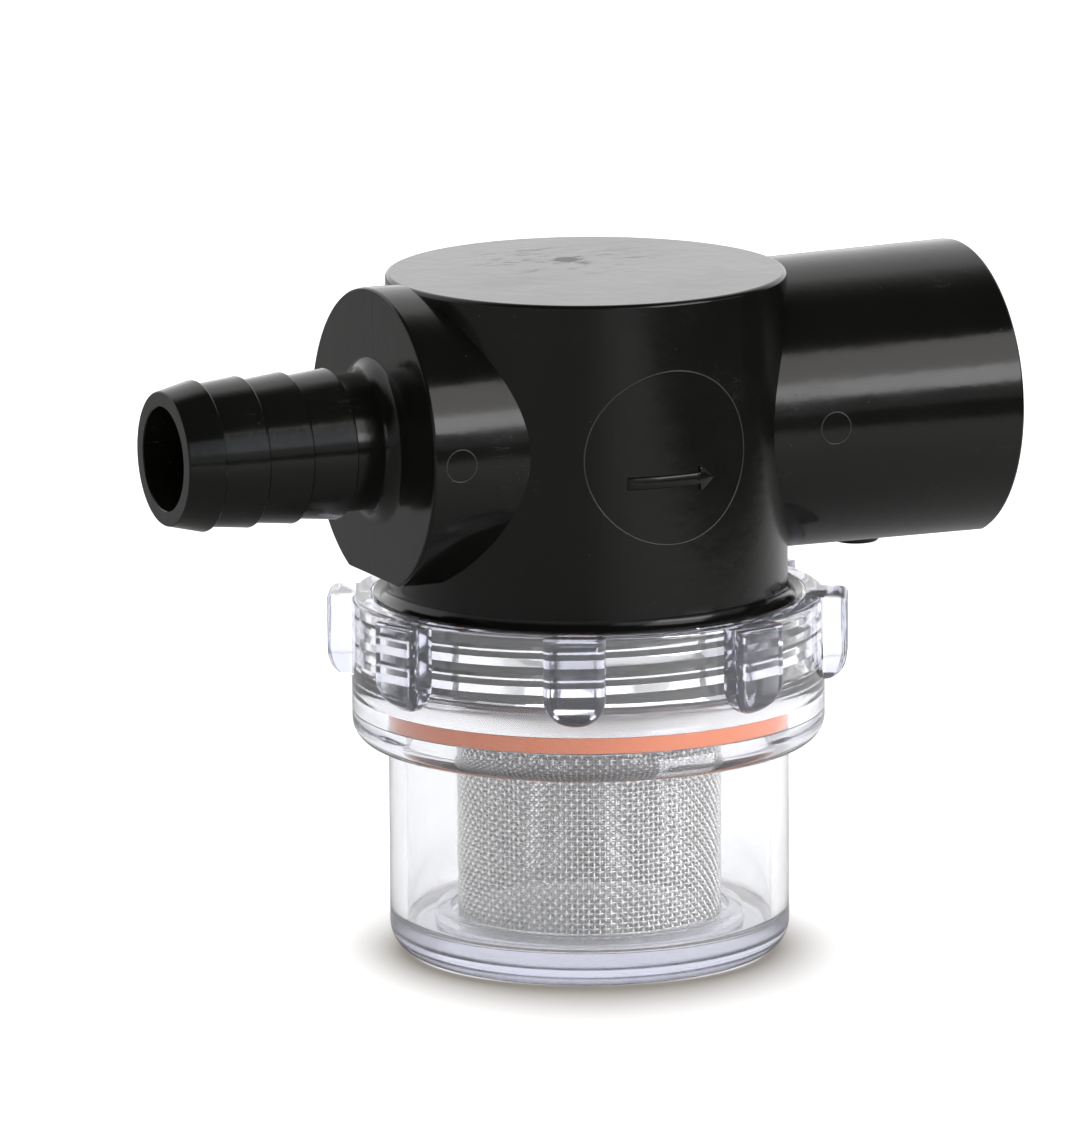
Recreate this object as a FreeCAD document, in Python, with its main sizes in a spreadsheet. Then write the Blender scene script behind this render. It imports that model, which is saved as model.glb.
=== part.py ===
"""Twist-on in-line sea water strainer: black moulded head, clear screw-on bowl, gasket, mesh screen.

Frame: origin where the bowl's axis meets its flat base, +X along the flow (hose barb at -X, threaded
socket at +X), +Z up through the head. Lengths are millimetres, angles are degrees.
"""
import FreeCAD, Part
import math
import os

import Sketcher

os.makedirs("parts", exist_ok=True)
doc = FreeCAD.newDocument("strainer")

# ---------------------------------------------------------------- driving dimensions

SIZES = {
    # clearance between pieces that move past or rest against each other
    "running_gap": 0.3,
    # head: barrel and threaded skirt
    "barrel_radius": 19.85,
    "barrel_wall": 2.65,
    "barrel_edge": 0.5,
    "pilot_step": 0.05,
    "pilot_length": 2.6,
    "skirt_step": 1.0,
    "skirt_length": 7.2,
    "flange_step": 1.45,
    "flange_depth": 0.6,
    "flare_rise": 0.8,
    # head: ports
    "port_above_ring": 17.2,
    "flat_clearance": 3.6,
    "collar_radius": 15.0,
    "collar_stand": 3.4,
    "barb_tip_radius": 6.65,
    "barb_crest_radius": 7.45,
    "barb_valley_radius": 6.95,
    "barb_first": 3.65,
    "barb_pitch": 4.65,
    "barb_edge": 0.3,
    "neck_length": 4.65,
    "neck_radius": 6.8,
    "neck_flare": 1.2,
    "inlet_radius": 5.1,
    "socket_stand": 21.25,
    "socket_radius": 14.85,
    "socket_bore_radius": 9.3,
    "socket_bore_depth": 15.0,
    "socket_chamfer": 1.2,
    "outlet_radius": 8.2,
    # head: chamber round the screen and tube inside it
    "chamber_headroom": 3.5,
    "tube_headroom": 2.0,
    "tube_wall": 2.05,
    "tube_ledge": 0.45,
    "cross_wall": 2.2,
    "spigot_overlap": 10.2,
    # head: surface details
    "pad_radius": 2.35,
    "pad_inset": 11.5,
    "pad_drop": 1.2,
    "pad_edge": 0.4,
    "ejector_radius": 1.6,
    "ejector_stand": 0.55,
    "ejector_sink": 0.12,
    # bowl
    "cup_height": 21.4,
    "cup_wall": 1.7,
    "floor_thickness": 3.4,
    "base_round": 3.0,
    "shoulder_thickness": 2.7,
    "ring_wall": 2.35,
    "ring_round": 2.4,
    "ring_edge": 0.5,
    "ring_below_flange": 0.2,
    "mouth_depth": 0.9,
    "lead_height": 2.5,
    "lug_count": 8,
    "lug_depth": 2.3,
    "lug_width": 6.1,
    "lug_length": 8.8,
    "lug_phase": 17.0,
    "lug_edge": 0.6,
    "lug_nose_height": 3.0,
    "foot_ring_width": 1.5,
    "foot_ring_height": 1.2,
    # gasket
    "gasket_rim": 0.0,
    "gasket_lip": 0.2,
    "gasket_thickness": 1.6,
    # screen
    "screen_radius": 13.15,
    "screen_thickness": 0.6,
    "screen_length": 34.5,
    "lap_thickness": 0.35,
    "lap_angle": 16.0,
    "lap_direction": -33.0,
}
BARB_COUNT = 4

sheet = doc.addObject("Spreadsheet::Sheet", "Sizes")


class Dim:
    """A length that knows its present value and the expression that a feature is bound to."""

    def __init__(self, value, text):
        self.value = value
        self.text = text

    def combine(self, sign, other, value):
        text = other.text if isinstance(other, Dim) else str(other)
        return Dim(value, f"({self.text} {sign} {text})")

    def __add__(self, other):
        return self.combine("+", other, self.value + number(other))

    def __sub__(self, other):
        return self.combine("-", other, self.value - number(other))

    def __mul__(self, other):
        return self.combine("*", other, self.value * number(other))

    def __truediv__(self, other):
        return self.combine("/", other, self.value / number(other))

    def __neg__(self):
        return self * -1


def number(length):
    """The present value of a Dim or of a plain number."""
    return length.value if isinstance(length, Dim) else float(length)


def write_cell(alias, content):
    """Adds a row with a name and a cell of that alias to the sheet."""
    write_cell.row += 1
    sheet.set(f"A{write_cell.row}", alias)
    sheet.set(f"B{write_cell.row}", content)
    sheet.setAlias(f"B{write_cell.row}", alias)


write_cell.row = 0


class Sizes:
    """The driving dimensions as attributes, each a Dim bound to its cell."""


size = Sizes()
for name, value in SIZES.items():
    write_cell(name, str(value))
    setattr(size, name, Dim(value, f"Sizes.{name}"))


def derive(alias, length):
    """Writes a size that follows from others into the sheet and makes it an attribute too."""
    write_cell(alias, "=" + length.text.replace("Sizes.", ""))
    setattr(size, alias, Dim(length.value, f"Sizes.{alias}"))


# Sizes that follow from the ones above, so that the pieces keep fitting each other.

# Radii from the barrel outwards and inwards.
derive("chamber_radius", size.barrel_radius - size.barrel_wall)
derive("pilot_radius", size.barrel_radius + size.pilot_step)
derive("skirt_radius", size.barrel_radius + size.skirt_step)
derive("flange_radius", size.barrel_radius + size.flange_step)
derive("ring_bore", size.skirt_radius + size.running_gap)
derive("mouth_radius", size.flange_radius + size.running_gap)
derive("ring_radius", size.ring_bore + size.ring_wall)
derive("lug_radius", size.ring_radius + size.lug_depth)
derive("cup_bore", size.pilot_radius - size.cup_wall)
derive("gasket_outer", size.pilot_radius + size.gasket_rim)
derive("gasket_inner", size.chamber_radius + size.gasket_lip)
derive("seat_radius", size.gasket_outer + size.running_gap)
# Radii from the screen inwards and outwards.
derive("screen_inner", size.screen_radius - size.screen_thickness)
derive("spigot_radius", size.screen_inner - size.running_gap)
derive("tube_bore_radius", size.spigot_radius - size.tube_wall)
derive("tube_radius", size.screen_radius + size.tube_ledge)
derive("cross_tube_radius", size.outlet_radius + size.cross_wall)
derive("foot_ring_inner", size.screen_radius + size.lap_thickness + size.running_gap)
derive("foot_ring_outer", size.foot_ring_inner + size.foot_ring_width)
# Heights from the bowl's base up.
derive("land_height", size.cup_height + size.shoulder_thickness)
derive("gasket_top", size.land_height + size.gasket_thickness)
derive("pilot_bottom", size.gasket_top + size.running_gap)
derive("skirt_bottom", size.pilot_bottom + size.pilot_length)
derive("flange_bottom", size.skirt_bottom + size.skirt_length)
derive("flange_top", size.flange_bottom + size.flange_depth)
derive("flare_height", size.flange_top + size.flare_rise)
derive("ring_top", size.flange_top - size.ring_below_flange)
derive("mouth_bottom", size.ring_top - size.mouth_depth)
derive("lug_bottom", size.ring_top - size.lug_length)
derive("port_height", size.ring_top + size.port_above_ring)
derive("flat_height", size.ring_top + size.flat_clearance)
derive("total_height", size.port_height + size.collar_radius)
derive("screen_bottom", size.floor_thickness + size.running_gap)
derive("screen_top", size.screen_bottom + size.screen_length)
derive("spigot_bottom", size.screen_top - size.spigot_overlap)
derive("spigot_shoulder", size.screen_top + size.running_gap)
derive("chamber_top", size.port_height + size.inlet_radius + size.chamber_headroom)
derive("tube_bore_top", size.port_height + size.outlet_radius + size.tube_headroom)
# Reaches along the flow from the barrel's axis.
derive("collar_reach", size.barrel_radius + size.collar_stand)
derive("last_crest", size.collar_reach + size.neck_length)
derive("first_crest", size.last_crest + size.barb_pitch * (BARB_COUNT - 1))
derive("barb_reach", size.first_crest + size.barb_first)
derive("socket_reach", size.barrel_radius + size.socket_stand)
derive("pad_offset", size.socket_reach - size.pad_inset)
derive("ejector_offset", size.barrel_radius + size.ejector_stand)
doc.recompute()


# ---------------------------------------------------------------- how sketches and features are made


def origin_part(body, role):
    """One of a body's own origin planes or axes."""
    return next(part for part in body.Origin.OriginFeatures if part.Role == role)


def bind(feature, path, length):
    """Binds one property of a feature to a length of the sheet."""
    if isinstance(length, Dim):
        feature.setExpression(path, length.text)


def new_sketch(body, name, plane, lift=0, out=0, turn=0):
    """A sketch on an origin plane, moved up in it by lift, off it by out, turned about its own up axis."""
    sketch = body.newObject("Sketcher::SketchObject", name)
    sketch.AttachmentSupport = [(origin_part(body, plane), "")]
    sketch.MapMode = "FlatFace"
    spin = FreeCAD.Rotation(FreeCAD.Vector(0, 1, 0), number(turn))
    sketch.AttachmentOffset = FreeCAD.Placement(FreeCAD.Vector(0, number(lift), number(out)), spin)
    bind(sketch, "AttachmentOffset.Base.y", lift)
    bind(sketch, "AttachmentOffset.Base.z", out)
    bind(sketch, "AttachmentOffset.Rotation.Angle", turn)
    return sketch


def hold(sketch, kind, where, length):
    """Adds one dimension to a sketch and binds it to the sheet."""
    index = sketch.addConstraint(Sketcher.Constraint(kind, *where, number(length)))
    bind(sketch, f"Constraints[{index}]", length)


def hold_point(sketch, edge, end, across, up):
    """Holds a point of an edge at its distances from the sketch's origin."""
    for kind, length, axis in (("DistanceX", across, -2), ("DistanceY", up, -1)):
        if number(length) == 0:
            sketch.addConstraint(Sketcher.Constraint("PointOnObject", edge, end, axis))
        else:
            hold(sketch, kind, (-1, 1, edge, end), length)


def arc_between(start, finish, radius):
    """An arc from start to finish, with its centre to the left of the way if the radius is positive."""
    chord = finish - start
    left = FreeCAD.Vector(-chord.y, chord.x, 0).normalize()
    reach = math.sqrt(max(radius * radius - chord.Length ** 2 / 4, 0))
    centre = (start + finish) * 0.5 + left * math.copysign(reach, radius)
    circle = Part.Circle(centre, FreeCAD.Vector(0, 0, 1), abs(radius))
    first, last = (start, finish) if radius > 0 else (finish, start)
    begin = math.atan2(first.y - centre.y, first.x - centre.x)
    end = math.atan2(last.y - centre.y, last.x - centre.x)
    return Part.ArcOfCircle(circle, begin, end)


def outline(sketch, corners):
    """Draws a closed loop. A corner is (across, up), or (across, up, radius) for an arc that ends there."""
    points = [FreeCAD.Vector(number(corner[0]), number(corner[1]), 0) for corner in corners]
    edges = []
    for index, corner in enumerate(corners):
        start, finish = points[index - 1], points[index]
        if len(corner) == 3:
            edge = sketch.addGeometry(arc_between(start, finish, number(corner[2])), False)
            ends = (1, 2) if number(corner[2]) > 0 else (2, 1)
            size_of_arc = corner[2] if number(corner[2]) > 0 else -corner[2]
            hold(sketch, "Radius", (edge,), size_of_arc)
        else:
            edge = sketch.addGeometry(Part.LineSegment(start, finish), False)
            ends = (1, 2)
        edges.append((edge, ends))
    for index, corner in enumerate(corners):
        edge, ends = edges[index]
        following, following_ends = edges[(index + 1) % len(edges)]
        sketch.addConstraint(
            Sketcher.Constraint("Coincident", edge, ends[1], following, following_ends[0])
        )
        hold_point(sketch, edge, ends[1], corner[0], corner[1])


def disc(sketch, across, up, radius):
    """Draws a circle with its centre and radius bound to the sheet."""
    centre = FreeCAD.Vector(number(across), number(up), 0)
    circle = Part.Circle(centre, FreeCAD.Vector(0, 0, 1), number(radius))
    edge = sketch.addGeometry(circle, False)
    hold(sketch, "Radius", (edge,), radius)
    hold_point(sketch, edge, 3, across, up)


def turned(body, kind, name, sketch, axis, angle=360):
    """A Revolution or Groove of a sketch about its own V_Axis or H_Axis."""
    feature = body.newObject("PartDesign::" + kind, name)
    feature.Profile = sketch
    feature.ReferenceAxis = (sketch, [axis])
    feature.Angle = number(angle)
    bind(feature, "Angle", angle)
    return feature


def pushed(body, kind, name, sketch, length, backwards=False, both_ways=False):
    """A Pad or Pocket of a sketch over a bound length."""
    feature = body.newObject("PartDesign::" + kind, name)
    feature.Profile = sketch
    feature.Length = number(length)
    bind(feature, "Length", length)
    feature.Reversed = backwards
    feature.Midplane = both_ways
    return feature


def bevelled(body, name, base, width, test):
    """A Chamfer on the edges of the base feature that pass the test."""
    doc.recompute()
    chosen = [f"Edge{i}" for i, edge in enumerate(base.Shape.Edges, start=1) if test(edge)]
    feature = body.newObject("PartDesign::Chamfer", name)
    feature.Base = (base, chosen)
    feature.Size = number(width)
    bind(feature, "Size", width)
    return feature


def level(edge, height):
    """Whether an edge lies flat at a height."""
    box = edge.BoundBox
    return abs(box.ZMin - number(height)) < 1e-4 and abs(box.ZMax - number(height)) < 1e-4


# ---------------------------------------------------------------- head: barb, collar, barrel and socket


def port_corners():
    """Half section of the two ports, along their common axis and out from it."""
    corners = [
        (-size.barb_reach, 0),
        (-size.barb_reach, size.barb_tip_radius - size.barb_edge),
        (-size.barb_reach + size.barb_edge, size.barb_tip_radius),
    ]
    for tooth in range(BARB_COUNT):
        crest = -size.first_crest + size.barb_pitch * tooth
        corners += [
            (crest, size.barb_crest_radius),
            (crest + size.barb_edge, size.barb_valley_radius),
        ]
    corners += [
        (-size.last_crest + size.barb_edge * 2, size.neck_radius),
        (-size.collar_reach - size.neck_flare, size.neck_radius),
        (-size.collar_reach, size.neck_radius + size.neck_flare),
        (-size.collar_reach, size.collar_radius),
        (0, size.collar_radius),
        (0, size.socket_radius),
        (size.socket_reach, size.socket_radius),
        (size.socket_reach, 0),
    ]
    return corners


def barrel_corners():
    """Half section of the barrel, flange, skirt and pilot, before the chamber is cut."""
    return [
        (0, size.total_height),
        (size.barrel_radius - size.barrel_edge, size.total_height),
        (size.barrel_radius, size.total_height - size.barrel_edge),
        (size.barrel_radius, size.flare_height),
        (size.flange_radius, size.flange_top),
        (size.flange_radius, size.flange_bottom),
        (size.skirt_radius, size.flange_bottom),
        (size.skirt_radius, size.skirt_bottom),
        (size.pilot_radius, size.skirt_bottom),
        (size.pilot_radius, size.pilot_bottom),
        (0, size.pilot_bottom),
    ]


def chamber_corners():
    """Half section of the space inside the barrel, open below."""
    return [
        (0, size.chamber_top),
        (size.chamber_radius, size.chamber_top),
        (size.chamber_radius, size.pilot_bottom - 1),
        (0, size.pilot_bottom - 1),
    ]


def tube_corners():
    """Half section of the tube that stands in the chamber, with the spigot that the screen slips over."""
    return [
        (0, size.spigot_bottom),
        (size.spigot_radius, size.spigot_bottom),
        (size.spigot_radius, size.spigot_shoulder),
        (size.tube_radius, size.spigot_shoulder),
        (size.tube_radius, size.chamber_top + 1),
        (0, size.chamber_top + 1),
    ]


def tube_bore_corners():
    """Half section of the bore that carries strained water up from inside the screen."""
    return [
        (0, size.spigot_bottom - 1),
        (size.tube_bore_radius, size.spigot_bottom - 1),
        (size.tube_bore_radius, size.tube_bore_top),
        (0, size.tube_bore_top),
    ]


def outlet_corners():
    """Half section of the outlet passage and of the pipe socket with its chamfered mouth."""
    seat = size.socket_reach - size.socket_bore_depth
    mouth = size.socket_bore_radius + size.socket_chamfer
    return [
        (0, 0),
        (0, size.outlet_radius),
        (seat - size.socket_chamfer, size.outlet_radius),
        (seat, size.socket_bore_radius),
        (size.socket_reach - size.socket_chamfer, size.socket_bore_radius),
        (size.socket_reach, mouth),
        (size.socket_reach + 1, mouth),
        (size.socket_reach + 1, 0),
    ]


def inlet_corners():
    """Half section of the bore through the barb, which ends inside the chamber."""
    end = -(size.tube_radius + size.chamber_radius) / 2
    return [
        (-size.barb_reach - 1, 0),
        (end, 0),
        (end, size.inlet_radius),
        (-size.barb_reach - 1, size.inlet_radius),
    ]


def make_head():
    """The whole moulding: ports, barrel, skirt, chamber, tube and the marks of the ejector pins."""
    body = doc.addObject("PartDesign::Body", "Head")
    section = new_sketch(body, "PortSection", "XZ_Plane", lift=size.port_height)
    outline(section, port_corners())
    turned(body, "Revolution", "Ports", section, "H_Axis")

    underside = new_sketch(body, "UndersideCut", "XZ_Plane")
    below = size.flat_height - size.collar_radius
    outline(underside, [
        (-size.collar_reach - 1, size.flat_height),
        (size.socket_reach + 1, size.flat_height),
        (size.socket_reach + 1, below),
        (-size.collar_reach - 1, below),
    ])
    pushed(body, "Pocket", "Underside", underside, size.collar_radius * 2, both_ways=True)

    section = new_sketch(body, "BarrelSection", "XZ_Plane")
    outline(section, barrel_corners())
    turned(body, "Revolution", "Barrel", section, "V_Axis")

    pad = new_sketch(body, "UndersidePadCircle", "XY_Plane", out=size.flat_height - size.pad_drop)
    disc(pad, size.pad_offset, 0, size.pad_radius)
    pad_feature = pushed(body, "Pad", "UndersidePad", pad, size.pad_drop + size.pad_radius)
    bevelled(body, "UndersidePadEdge", pad_feature, size.pad_edge,
             lambda edge: level(edge, size.flat_height - size.pad_drop))

    section = new_sketch(body, "ChamberSection", "XZ_Plane")
    outline(section, chamber_corners())
    turned(body, "Groove", "Chamber", section, "V_Axis")

    section = new_sketch(body, "TubeSection", "XZ_Plane")
    outline(section, tube_corners())
    turned(body, "Revolution", "Tube", section, "V_Axis")

    crossing = new_sketch(body, "CrossTubeCircle", "YZ_Plane", lift=size.port_height)
    disc(crossing, 0, 0, size.cross_tube_radius)
    pushed(body, "Pad", "CrossTube", crossing, size.chamber_radius + size.barrel_wall / 2)

    section = new_sketch(body, "TubeBoreSection", "XZ_Plane")
    outline(section, tube_bore_corners())
    turned(body, "Groove", "TubeBore", section, "V_Axis")

    section = new_sketch(body, "OutletSection", "XZ_Plane", lift=size.port_height)
    outline(section, outlet_corners())
    turned(body, "Groove", "Outlet", section, "H_Axis")

    section = new_sketch(body, "InletSection", "XZ_Plane", lift=size.port_height)
    outline(section, inlet_corners())
    turned(body, "Groove", "Inlet", section, "H_Axis")

    for name, across, radius in (
        ("CollarMark", -size.ejector_offset, size.collar_radius),
        ("SocketMark", size.ejector_offset, size.socket_radius),
    ):
        circle = new_sketch(body, name + "Circle", "XZ_Plane", lift=size.port_height,
                            out=radius - size.ejector_sink)
        disc(circle, across, 0, size.ejector_radius)
        pushed(body, "Pocket", name, circle, size.ejector_radius, backwards=True)
    body.Label = "housing"
    return body


# ---------------------------------------------------------------- bowl


# How far the middle of a quarter round stays inside its corner, as a part of the radius. Each
# large round on the bowl is drawn as two bevels that meet there.
ROUND_MIDDLE = 1 - math.sqrt(0.5)


def bowl_outside_corners():
    """Half section of the bowl's outside: rounded base, straight cup, shoulder and thick ring."""
    return [
        (0, 0),
        (size.pilot_radius - size.base_round, 0),
        (size.pilot_radius - size.base_round * ROUND_MIDDLE, size.base_round * ROUND_MIDDLE),
        (size.pilot_radius, size.base_round),
        (size.pilot_radius, size.cup_height),
        (size.ring_radius - size.ring_round, size.cup_height),
        (size.ring_radius - size.ring_round * ROUND_MIDDLE, size.cup_height + size.ring_round * ROUND_MIDDLE),
        (size.ring_radius, size.cup_height + size.ring_round),
        (size.ring_radius, size.ring_top - size.ring_edge),
        (size.ring_radius - size.ring_edge, size.ring_top),
        (0, size.ring_top),
    ]


def bowl_inside_corners():
    """Half section of the bowl's hollow: mouth, ring bore, gasket land and cup."""
    return [
        (0, size.floor_thickness),
        (size.cup_bore, size.floor_thickness),
        (size.cup_bore, size.land_height),
        (size.seat_radius, size.land_height),
        (size.seat_radius, size.skirt_bottom - size.running_gap - size.lead_height),
        (size.ring_bore, size.skirt_bottom - size.running_gap),
        (size.ring_bore, size.mouth_bottom - size.mouth_depth / 2),
        (size.mouth_radius, size.mouth_bottom),
        (size.mouth_radius, size.ring_top + 1),
        (0, size.ring_top + 1),
    ]


def foot_ring_corners():
    """Section of the low ring on the floor that keeps the screen's foot in the middle."""
    top = size.floor_thickness + size.foot_ring_height
    return [
        (size.foot_ring_inner, size.floor_thickness / 2),
        (size.foot_ring_outer, size.floor_thickness / 2),
        (size.foot_ring_outer, top),
        (size.foot_ring_inner, top),
    ]


def lug_corners():
    """Front view of one grip lug: straight sides, half-round lower end, flush with the rim on top."""
    half = size.lug_width / 2
    return [
        (-half, size.ring_top),
        (-half, size.lug_bottom + half),
        (0, size.lug_bottom, half),
        (half, size.lug_bottom + half, half),
        (half, size.ring_top),
    ]


def nose_corners():
    """Section outside the slope that draws each lug's lower end back into the ring."""
    top = size.lug_bottom + size.lug_nose_height
    return [
        (size.lug_radius, top),
        (size.lug_radius - size.lug_depth * ROUND_MIDDLE, top - size.lug_nose_height / 2),
        (size.ring_radius, size.lug_bottom),
        (size.ring_radius, size.lug_bottom - 1),
        (size.lug_radius + 1, size.lug_bottom - 1),
        (size.lug_radius + 1, top),
    ]


def on_lug_face(edge):
    """Whether an edge bounds the outer face of one of the lugs."""
    points = edge.discretize(5)
    for turn in range(int(size.lug_count.value)):
        angle = math.radians(size.lug_phase.value + 360 * turn / size.lug_count.value)
        outward = FreeCAD.Vector(math.cos(angle), math.sin(angle), 0)
        if all(abs(point.dot(outward) - size.lug_radius.value) < 1e-4 for point in points):
            return True
    return False


def make_bowl():
    body = doc.addObject("PartDesign::Body", "Bowl")
    section = new_sketch(body, "BowlOutsideSection", "XZ_Plane")
    outline(section, bowl_outside_corners())
    turned(body, "Revolution", "BowlOutside", section, "V_Axis")

    face = new_sketch(body, "LugFace", "YZ_Plane", turn=size.lug_phase)
    outline(face, lug_corners())
    lug = pushed(body, "Pad", "Lug", face, size.lug_radius)
    lugs = body.newObject("PartDesign::PolarPattern", "Lugs")
    lugs.Originals = [lug]
    lugs.Axis = (origin_part(body, "Z_Axis"), [""])
    lugs.Angle = 360
    bind(lugs, "Occurrences", size.lug_count)
    body.Tip = lugs
    bevelled(body, "LugEdges", lugs, size.lug_edge, on_lug_face)

    section = new_sketch(body, "LugNoseSection", "XZ_Plane")
    outline(section, nose_corners())
    turned(body, "Groove", "LugNoses", section, "V_Axis")

    section = new_sketch(body, "BowlInsideSection", "XZ_Plane")
    outline(section, bowl_inside_corners())
    turned(body, "Groove", "BowlInside", section, "V_Axis")

    section = new_sketch(body, "FootRingSection", "XZ_Plane")
    outline(section, foot_ring_corners())
    turned(body, "Revolution", "FootRing", section, "V_Axis")
    body.Label = "bowl"
    return body


# ---------------------------------------------------------------- gasket


def make_gasket():
    """A flat ring cut from rubber sheet, lying on the land inside the bowl."""
    body = doc.addObject("PartDesign::Body", "Gasket")
    section = new_sketch(body, "GasketSection", "XZ_Plane")
    outline(section, [
        (size.gasket_inner, size.land_height),
        (size.gasket_outer, size.land_height),
        (size.gasket_outer, size.gasket_top),
        (size.gasket_inner, size.gasket_top),
    ])
    turned(body, "Revolution", "GasketRing", section, "V_Axis")
    body.Label = "gasket"
    return body


# ---------------------------------------------------------------- screen


def make_screen():
    """The rolled mesh cylinder, as a thin tube with the lap where the cloth's two edges are joined."""
    body = doc.addObject("PartDesign::Body", "Screen")
    rings = new_sketch(body, "ScreenRings", "XY_Plane", out=size.screen_bottom)
    disc(rings, 0, 0, size.screen_radius)
    disc(rings, 0, 0, size.screen_inner)
    pushed(body, "Pad", "ScreenTube", rings, size.screen_length)

    lap = new_sketch(body, "LapSection", "YZ_Plane", turn=size.lap_direction)
    inside = size.screen_radius - size.screen_thickness / 2
    outside = size.screen_radius + size.lap_thickness
    outline(lap, [
        (inside, size.screen_bottom),
        (outside, size.screen_bottom),
        (outside, size.screen_top),
        (inside, size.screen_top),
    ])
    turned(body, "Revolution", "ScreenLap", lap, "V_Axis", angle=size.lap_angle)
    body.Label = "screen"
    return body


# ---------------------------------------------------------------- build and export

pieces = [make_head(), make_bowl(), make_gasket(), make_screen()]
doc.recompute()

for item in doc.Objects:
    if "Invalid" in item.State or "Error" in item.State:
        raise RuntimeError(f"{item.Name} failed: {item.State}")
for piece in pieces:
    if piece.Shape.isNull() or not piece.Shape.isValid() or len(piece.Shape.Solids) != 1:
        raise RuntimeError(f"{piece.Label} is not one valid solid")
for piece in pieces:
    piece.Shape.exportStep(f"parts/{piece.Label}.step")
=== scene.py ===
import math
import random

import bmesh
import bpy
from mathutils import Matrix, Vector


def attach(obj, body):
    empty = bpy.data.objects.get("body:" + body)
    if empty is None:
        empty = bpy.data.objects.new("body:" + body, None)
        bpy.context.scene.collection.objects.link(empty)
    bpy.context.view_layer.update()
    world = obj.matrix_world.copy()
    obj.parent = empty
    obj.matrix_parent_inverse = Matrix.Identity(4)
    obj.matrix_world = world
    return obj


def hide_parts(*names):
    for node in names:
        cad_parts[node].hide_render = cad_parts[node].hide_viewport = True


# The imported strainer. Its frame has +X along the flow, +Z up, and its origin under the bowl's base.
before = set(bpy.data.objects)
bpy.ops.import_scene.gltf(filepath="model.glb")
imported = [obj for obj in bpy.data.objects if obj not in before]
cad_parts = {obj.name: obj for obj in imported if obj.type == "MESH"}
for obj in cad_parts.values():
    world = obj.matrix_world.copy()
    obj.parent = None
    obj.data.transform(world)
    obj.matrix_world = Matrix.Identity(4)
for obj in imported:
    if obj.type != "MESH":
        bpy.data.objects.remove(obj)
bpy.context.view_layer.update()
MM = 0.001


# ---------------------------------------------------------------- head moulding
# The head is one black plastic moulding: a barrel with a threaded skirt below, a hose barb on a
# round collar at the inlet, and a plain pipe socket at the outlet. The two halves of its mould meet
# in the upright plane through both ports; core pins and an insert leave fine circles in front.

PORT_HEIGHT = 53.4  # of the axis that both ports share
TOP_HEIGHT, TOP_EDGE = 68.4, 0.45
BARREL_RADIUS, FLARE_RADIUS = 19.85, 21.3
FLARE_HEIGHT, FLARE_ROUND = 37.25, 1.45
SKIRT_ROOT, SKIRT_CREST = 20.35, 21.25
SKIRT_LOW, SKIRT_HIGH = 29.9, 35.25  # where the skirt's thread ends
SKIRT_FLAT, SKIRT_FLANK = 0.45, 0.72  # widths of the thread's crest and of each flank
PILOT_RADIUS, PILOT_HIGH, FOOT_HEIGHT = 19.7, 28.3, 26.0
THREAD_PITCH = 2.8
THREAD_START = 0.9  # angle at which the thread begins; the bowl's begins opposite, so that they mesh
UPRIGHT, ALONG_FLOW, FLAT = 0, 1, 2  # which axis a surface is turned about
SAME_PLACE, HAIR, SLIVER = 2e-7, 1e-7, 1e-6  # metres: points this near to each other are one


def arc(middle, radius, start, end, steps):
    """Points of an arc in a section, from one angle to another, both in degrees."""
    return [
        (
            middle[0] + radius * math.cos(math.radians(start + (end - start) * i / steps)),
            middle[1] + radius * math.sin(math.radians(start + (end - start) * i / steps)),
        )
        for i in range(steps + 1)
    ]


def screw_thread(low, high, root, crest, crest_width, flank, angle, start=0.0):
    """Section of a right-hand thread between two heights, from the top down, at one angle round it."""
    turns = int((high - low) / THREAD_PITCH) + 3
    rise = THREAD_PITCH * (angle + start) / math.tau
    points = []
    for turn in range(turns, -2, -1):
        foot = low + THREAD_PITCH * (turn - 1) + rise
        for height, radius in (
            (foot + flank * 2 + crest_width, root),
            (foot + flank + crest_width, crest),
            (foot + flank, crest),
            (foot, root),
        ):
            if height >= high:
                points.append((root, high))
            elif height <= low:
                points.append((root, low))
            else:
                points.append((radius, height))
    return points


def turned(name, section, steps=192, axis=UPRIGHT, height=0.0):
    """A closed surface made by carrying a section round an axis; the section may change on the way.

    A section is a list of (radius, place along the axis) and starts and ends on the same point or
    on the axis. Along the flow, the place is X and the axis lies at a height.
    """
    mesh = bmesh.new()
    columns = []
    shift = 0.5 if axis == ALONG_FLOW else 0.0  # keeps the ports' highest facets off the barrel's top
    for step in range(steps + 1):
        angle = math.tau * (step + shift) / steps
        points = section(angle) if callable(section) else section
        column = []
        for radius, place in points:
            across, aside = radius * math.cos(angle), radius * math.sin(angle)
            if axis == UPRIGHT:
                where = Vector((across, aside, place))
            else:
                where = Vector((place, across, aside + height))
            column.append(mesh.verts.new(where * MM))
        columns.append(column)
    for before, after in zip(columns, columns[1:]):
        count = len(before)
        for i in range(count):
            j = (i + 1) % count
            mesh.faces.new((before[i], after[i], after[j], before[j]))
    bmesh.ops.remove_doubles(mesh, verts=mesh.verts, dist=SAME_PLACE)
    bmesh.ops.dissolve_degenerate(mesh, edges=mesh.edges, dist=HAIR)
    bmesh.ops.recalc_face_normals(mesh, faces=mesh.faces)
    return finished(name, mesh, axis)


def finished(name, mesh, family):
    """Makes an object of a bmesh, whose faces remember which axis they are turned about."""
    data = bpy.data.meshes.new(name)
    for face in mesh.faces:
        face.material_index = family
        face.smooth = True
    mesh.to_mesh(data)
    mesh.free()
    for _ in range(3):
        data.materials.append(None)
    made = bpy.data.objects.new(name, data)
    bpy.context.scene.collection.objects.link(made)
    return made


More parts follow.
